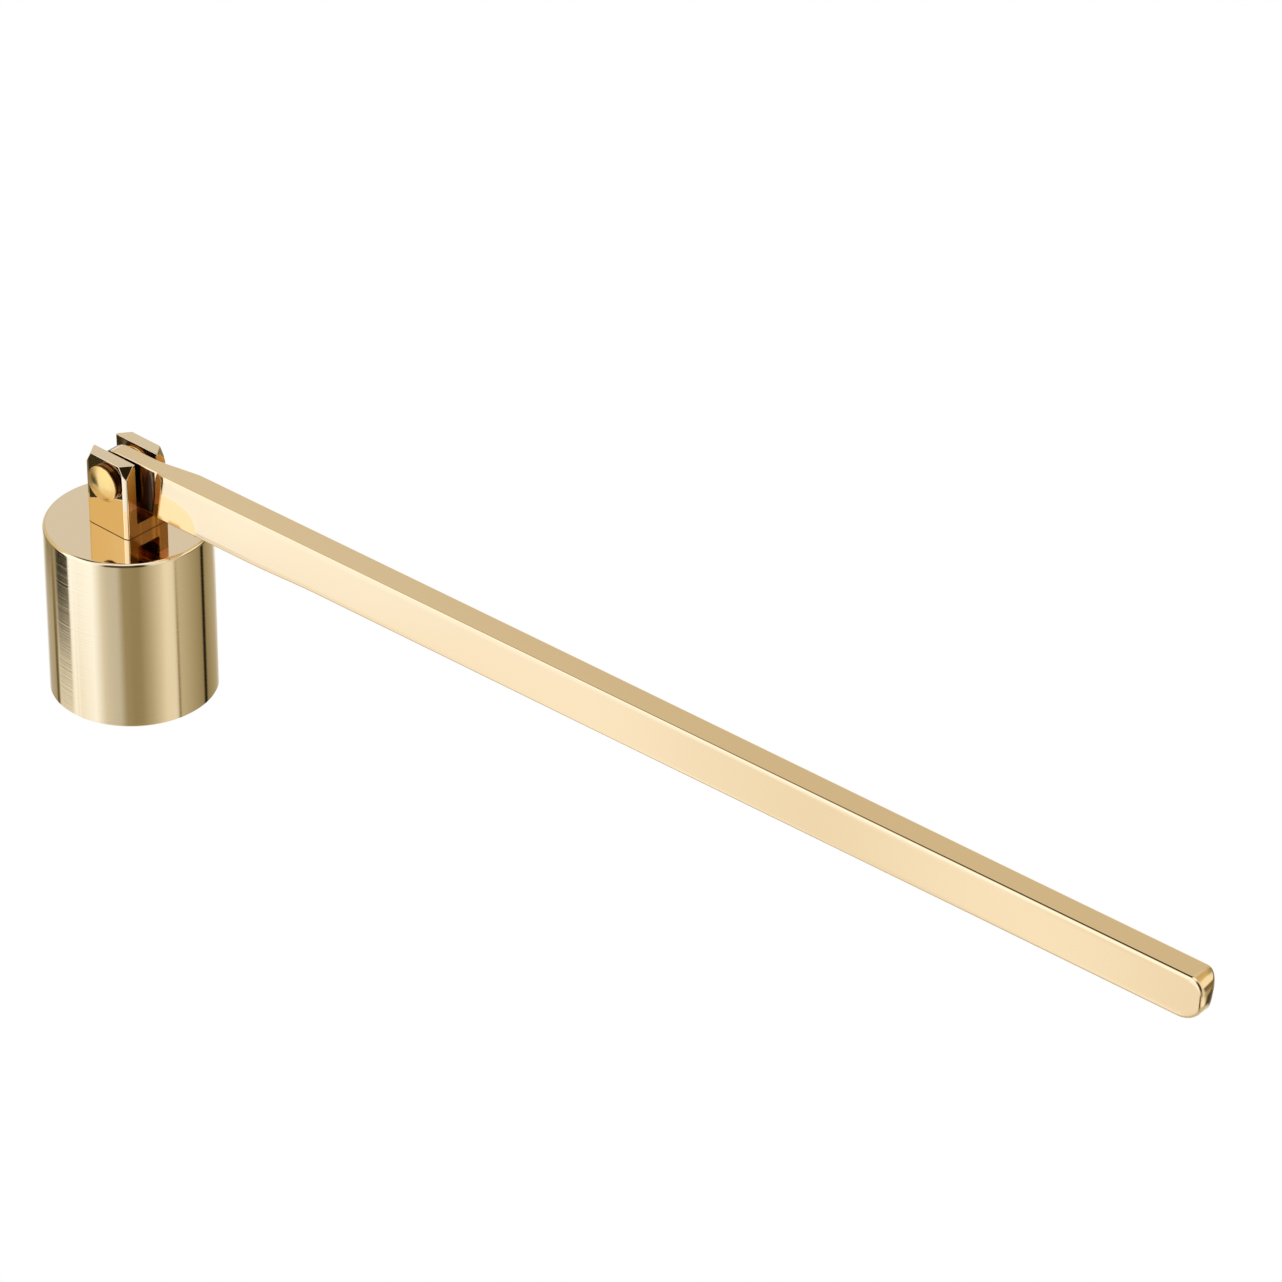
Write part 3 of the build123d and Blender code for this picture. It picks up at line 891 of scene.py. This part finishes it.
# The camera, the floor, the white backdrop and the light that the metal mirrors.
studio = {
    "cameraPosition": (517.11, -495.01, 467.83),
    "azimuth": 40.2499,
    "elevation": 32.8319,
    "roll": 0.91662,
    "focalPixels": 5751.78,
    "imagePixels": 1282,
    "sensorWidth": 36.0,
    "clipStart": 0.01,
    "floorCentre": (90.0, 0.0, -260.0),
    "floorRadius": 215.0,
    "floorSteps": 128,
    "floorColour": (0.9, 0.9, 0.9, 1),
    "floorRoughness": 0.9,
    "backdropInner": 9.0,
    "backdropOuter": 11.0,
    # How much of a stop's warmth comes off its green and its blue.
    "green": 0.25,
    "blue": 0.75,
    # Rings of light from the lowest to the highest. Each is blended in between two heights, in degrees,
    # and gives stops of compass direction (degrees from +X towards +Y), level and warmth. A stop
    # without a warmth is the warmer the dimmer it is, and a warmth below 0 makes it cooler.
    "rings": (
        (None, ((0, 0.6),)),
        ((-70, -50), (
            (0, 0.70), (60, 0.50), (115, 0.95), (152, 0.95), (185, 0.35), (218, 0.30), (226, 0.75),
            (262, 0.85), (300, 0.40), (335, 0.40), (350, 0.70),
        )),
        ((-48, -40), (
            (0, 1.05, 0.1), (22, 1.00, 0.1), (38, 0.50), (47, 0.09, 0.5), (72, 0.07, 0.5),
            (90, 0.18, 0.5), (115, 0.60), (150, 0.90), (181, 0.40), (205, 0.60), (220, 0.80, 0.1),
            (229.5, 1.06, -0.1), (231.2, 0.88, 0.1), (232.6, 0.88, 0.1), (234, 1.06, -0.1),
            (235.3, 1.00, 0.0), (236.5, 0.88, 0.1), (262, 0.95, 0.0), (272, 0.30), (280, 0.06),
            (300, 0.06), (318, 0.60), (335, 1.00, 0.1),
        )),
        ((-35.9, -35.3), (
            (0, 0.80, 0.3), (13, 0.80), (16.5, 0.70), (18, 0.25), (20.2, 0.25), (22, 0.53), (64, 0.30),
            (66.5, 0.01), (71, 0.01), (74, 0.28), (104, 0.45), (114, 0.60, 0.2), (150, 0.80, 0.1),
            (160, 0.48, 0.3), (182, 0.42), (186, 0.12), (190, 0.12), (194, 0.78, 0.2), (220, 0.86, 0.15),
            (229.5, 1.04, -0.1), (231.2, 0.89, 0.1), (232.6, 0.89, 0.1), (234.2, 1.06, -0.1),
            (236.5, 0.90, 0.1), (261, 1.04, -0.15), (276, 0.70, 0.2), (295, 0.58, 0.15), (304, 0.36, 0.6),
            (316, 0.285), (325, 0.30), (340, 0.46),
        )),
        ((-32.95, -32.55), (
            (0, 0.80, 0.3), (5, 0.87, 0.25), (13, 0.80), (16.5, 0.72), (18, 0.40), (20.2, 0.40),
            (22, 0.55), (64, 0.30), (66.5, 0.01), (71, 0.01), (74, 0.33), (104, 0.50), (112, 0.62, 0.2),
            (150, 0.85, 0.1), (160, 0.48, 0.3), (182, 0.46), (185.5, 0.20), (189, 0.20), (194, 0.42, 0.4),
            (199.5, 0.06), (203, 0.02), (215, 0.02), (222, 0.04), (225.2, 1.03, -0.22), (262, 1.06, -0.2),
            (276, 0.72, 0.15), (284, 0.60, 0.2), (297, 0.58, 0.15), (305, 0.34, 0.65), (326, 0.30, 0.7),
            (354, 0.68),
        )),
        ((-32.15, -31.85), (
            (0, 0.80, 0.3), (5, 0.87, 0.25), (13, 0.80), (19.5, 0.55), (64, 0.30), (66.5, 0.01),
            (71, 0.01), (74, 0.33), (104, 0.50), (112, 0.90, 0.05), (150, 0.85, 0.1), (163, 0.45),
            (171, 0.25), (180, 0.25), (194, 0.35), (199.5, 0.06), (206, 0.01), (216, 0.02), (222.2, 0.05),
            (223.6, 1.12, -0.3), (240, 1.05, -0.2), (262, 1.15, -0.2), (276, 0.72, 0.15),
            (284, 0.60, 0.2), (297, 0.58, 0.15), (305, 0.34, 0.65), (326, 0.30, 0.7), (354, 0.68),
        )),
        ((-26, -8), (
            (0, 0.80), (20, 0.50), (34, 0.20), (95, 0.20), (108, 1.00), (152, 1.00), (175, 0.60),
            (190, 0.45), (212, 0.55), (226, 1.15, -0.1), (262, 1.20, -0.1), (276, 0.90), (284, 0.08),
            (333, 0.08), (345, 0.80),
        )),
        ((2, 12), (
            (0, 0.90), (16, 0.90), (38, 1.00, 0.3), (58, 1.00, 0.3), (72, 0.40), (90, 0.30), (102, 0.60),
            (118, 0.66, 0.35), (130, 0.66, 0.35), (134.5, 0.70, 0.2), (138, 0.70, 0.12), (150, 0.62, 0.2),
            (172, 0.70, 0.7), (205, 0.75, 0.75), (221.6, 0.79, 0.75), (223.2, 1.25, -0.3),
            (262, 1.20, -0.2), (276, 0.90), (284, 0.09, 0.4), (318, 0.08, 0.4), (322, 0.02), (333, 0.02),
            (342, 0.80),
        )),
        ((37, 44), (
            (0, 0.90), (16, 0.80), (40, 0.90, 0.4), (60, 0.70, 0.8), (90, 0.60, 0.9), (105, 0.70),
            (150, 0.70), (222, 0.80), (232, 1.00), (276, 0.90), (286, 0.09, 0.4), (330, 0.09, 0.4),
            (342, 0.80),
        )),
        ((51, 60), (
            (0, 0.90), (30, 0.50), (90, 0.60), (115, 0.60), (130, 0.10), (136, 0.01), (226, 0.01),
            (232, 0.40), (245, 1.00), (276, 1.00), (330, 0.60), (342, 0.80),
        )),
        ((66, 76), ((0, 1.1),)),
    ),
}


def towardsCamera(s):
    # The direction from the snuffer back to the camera, from its azimuth and elevation.
    az, el = np.radians((s["azimuth"], s["elevation"]))
    return np.array((np.sin(az) * np.cos(el), -np.cos(az) * np.cos(el), np.sin(el)))


def addCamera(s):
    # The camera's axes: one back from the snuffer, one level to the right and one square to both. The
    # last two are then turned by the roll.
    az, roll = np.radians((s["azimuth"], s["roll"]))
    back = towardsCamera(s)
    right = np.array((np.cos(az), np.sin(az), 0.0))
    up = np.cross(back, right)
    turnedRight = np.cos(roll) * right + np.sin(roll) * up
    turnedUp = np.cos(roll) * up - np.sin(roll) * right
    camera = bpy.data.cameras.new("camera")
    camera.sensor_width = s["sensorWidth"]
    camera.lens = s["focalPixels"] / s["imagePixels"] * camera.sensor_width
    camera.clip_start = s["clipStart"]
    holder = bpy.data.objects.new("camera", camera)
    place = np.eye(4)
    place[:3, 0], place[:3, 1], place[:3, 2] = turnedRight, turnedUp, back
    place[:3, 3] = np.array(s["cameraPosition"]) * mm
    holder.matrix_world = Matrix(place.tolist())
    bpy.context.scene.collection.objects.link(holder)
    bpy.context.scene.camera = holder


def addFloor(s):
    # A round pale floor well below the snuffer, which hangs free above it.
    centreX, centreY, centreZ = s["floorCentre"]
    ring = arcPoints(centreX, centreY, s["floorRadius"], 0, 360, s["floorSteps"] + 1)[:-1]
    vertices = np.column_stack((ring, np.full(len(ring), centreZ)))
    material = bpy.data.materials.new("paleFloor")
    material.use_nodes = True
    shader = material.node_tree.nodes["Principled BSDF"]
    shader.inputs["Base Color"].default_value = s["floorColour"]
    shader.inputs["Roughness"].default_value = s["floorRoughness"]
    mesh = bpy.data.meshes.new("floor")
    mesh.from_pydata((vertices * mm).tolist(), [], [list(range(len(ring)))])
    mesh.materials.append(material)
    floor = bpy.data.objects.new("floor", mesh)
    bpy.context.scene.collection.objects.link(floor)


def stopColour(s, level, warmth=None):
    # Green and blue fall short of the level by their shares of the warmth.
    warmth = 1 - level if warmth is None else warmth
    return (level, level * (1 - s["green"] * warmth), level * (1 - s["blue"] * warmth), 1)


def lightRing(nodes, links, compass, s, stops):
    # One ring of light, which goes from stop to stop by compass direction and closes on itself.
    ramp = nodes.new("ShaderNodeValToRGB")
    ramp.color_ramp.interpolation = "LINEAR"
    elements = ramp.color_ramp.elements
    elements.remove(elements[-1])
    for index, (degrees, *light) in enumerate(list(stops) + [(360, *stops[0][1:])]):
        element = elements[0] if index == 0 else elements.new(degrees / 360)
        element.position = degrees / 360
        element.color = stopColour(s, *light)
    links.new(compass, ramp.inputs["Fac"])
    return ramp.outputs["Color"]


def blendRings(nodes, links, height, limits, lower, upper):
    # Goes from one light to the next as the height angle passes between the two limits, in degrees.
    share = nodes.new("ShaderNodeMapRange")
    share.interpolation_type = "SMOOTHSTEP"
    share.inputs["From Min"].default_value = limits[0]
    share.inputs["From Max"].default_value = limits[1]
    links.new(height, share.inputs["Value"])
    mix = nodes.new("ShaderNodeMix")
    mix.data_type = "RGBA"
    links.new(share.outputs["Result"], mix.inputs["Factor"])
    links.new(lower, mix.inputs[6])
    links.new(upper, mix.inputs[7])
    return mix.outputs[2]


def backdropShare(nodes, links, s, direction):
    # The backdrop behind the snuffer: its share rises from 0 to 1 as a direction comes within the
    # outer and then the inner angle of the middle of the view.
    closeness = nodes.new("ShaderNodeVectorMath")
    closeness.operation = "DOT_PRODUCT"
    closeness.inputs[1].default_value = (-towardsCamera(s)).tolist()
    links.new(direction, closeness.inputs[0])
    share = nodes.new("ShaderNodeMapRange")
    share.interpolation_type = "SMOOTHSTEP"
    share.inputs["From Min"].default_value = np.cos(np.radians(s["backdropOuter"]))
    share.inputs["From Max"].default_value = np.cos(np.radians(s["backdropInner"]))
    links.new(closeness.outputs["Value"], share.inputs["Value"])
    return share.outputs["Result"]


def addWorld(s):
    # The metal mirrors a studio of soft boxes and dark corners, which the rings describe. The camera
    # sees white all round, and a mirror sees it in the backdrop only.
    world = bpy.data.worlds.new("studio")
    bpy.context.scene.world = world
    world.use_nodes = True
    nodes, links = world.node_tree.nodes, world.node_tree.links
    direction = nodes.new("ShaderNodeTexCoord")
    parts = nodes.new("ShaderNodeSeparateXYZ")
    links.new(direction.outputs["Generated"], parts.inputs[0])
    turn = mathNode(nodes, links, "ARCTAN2", parts.outputs["Y"], parts.outputs["X"])
    turns = mathNode(nodes, links, "DIVIDE", turn, 2 * np.pi)
    compass = mathNode(nodes, links, "FRACT", turns)
    rise = mathNode(nodes, links, "ARCSINE", parts.outputs["Z"])
    height = mathNode(nodes, links, "DEGREES", rise)
    light = None
    for limits, stops in s["rings"]:
        ring = lightRing(nodes, links, compass, s, stops)
        light = ring if light is None else blendRings(nodes, links, height, limits, light, ring)
    background = nodes["Background"]
    links.new(light, background.inputs["Color"])
    white = nodes.new("ShaderNodeBackground")
    white.inputs["Color"].default_value = (1, 1, 1, 1)
    path = nodes.new("ShaderNodeLightPath")
    backdrop = backdropShare(nodes, links, s, direction.outputs["Generated"])
    glossy, through = path.outputs["Is Glossy Ray"], path.outputs["Is Transmission Ray"]
    mirrored = mathNode(nodes, links, "MAXIMUM", glossy, through)
    inBackdrop = mathNode(nodes, links, "MULTIPLY", mirrored, backdrop)
    whiteShare = mathNode(nodes, links, "MAXIMUM", path.outputs["Is Camera Ray"], inBackdrop)
    mix = nodes.new("ShaderNodeMixShader")
    links.new(whiteShare, mix.inputs[0])
    links.new(background.outputs[0], mix.inputs[1])
    links.new(white.outputs[0], mix.inputs[2])
    links.new(mix.outputs[0], nodes["World Output"].inputs["Surface"])


addCamera(studio)
addFloor(studio)
addWorld(studio)
bpy.context.scene.view_settings.view_transform = "Standard"
print("studio made")
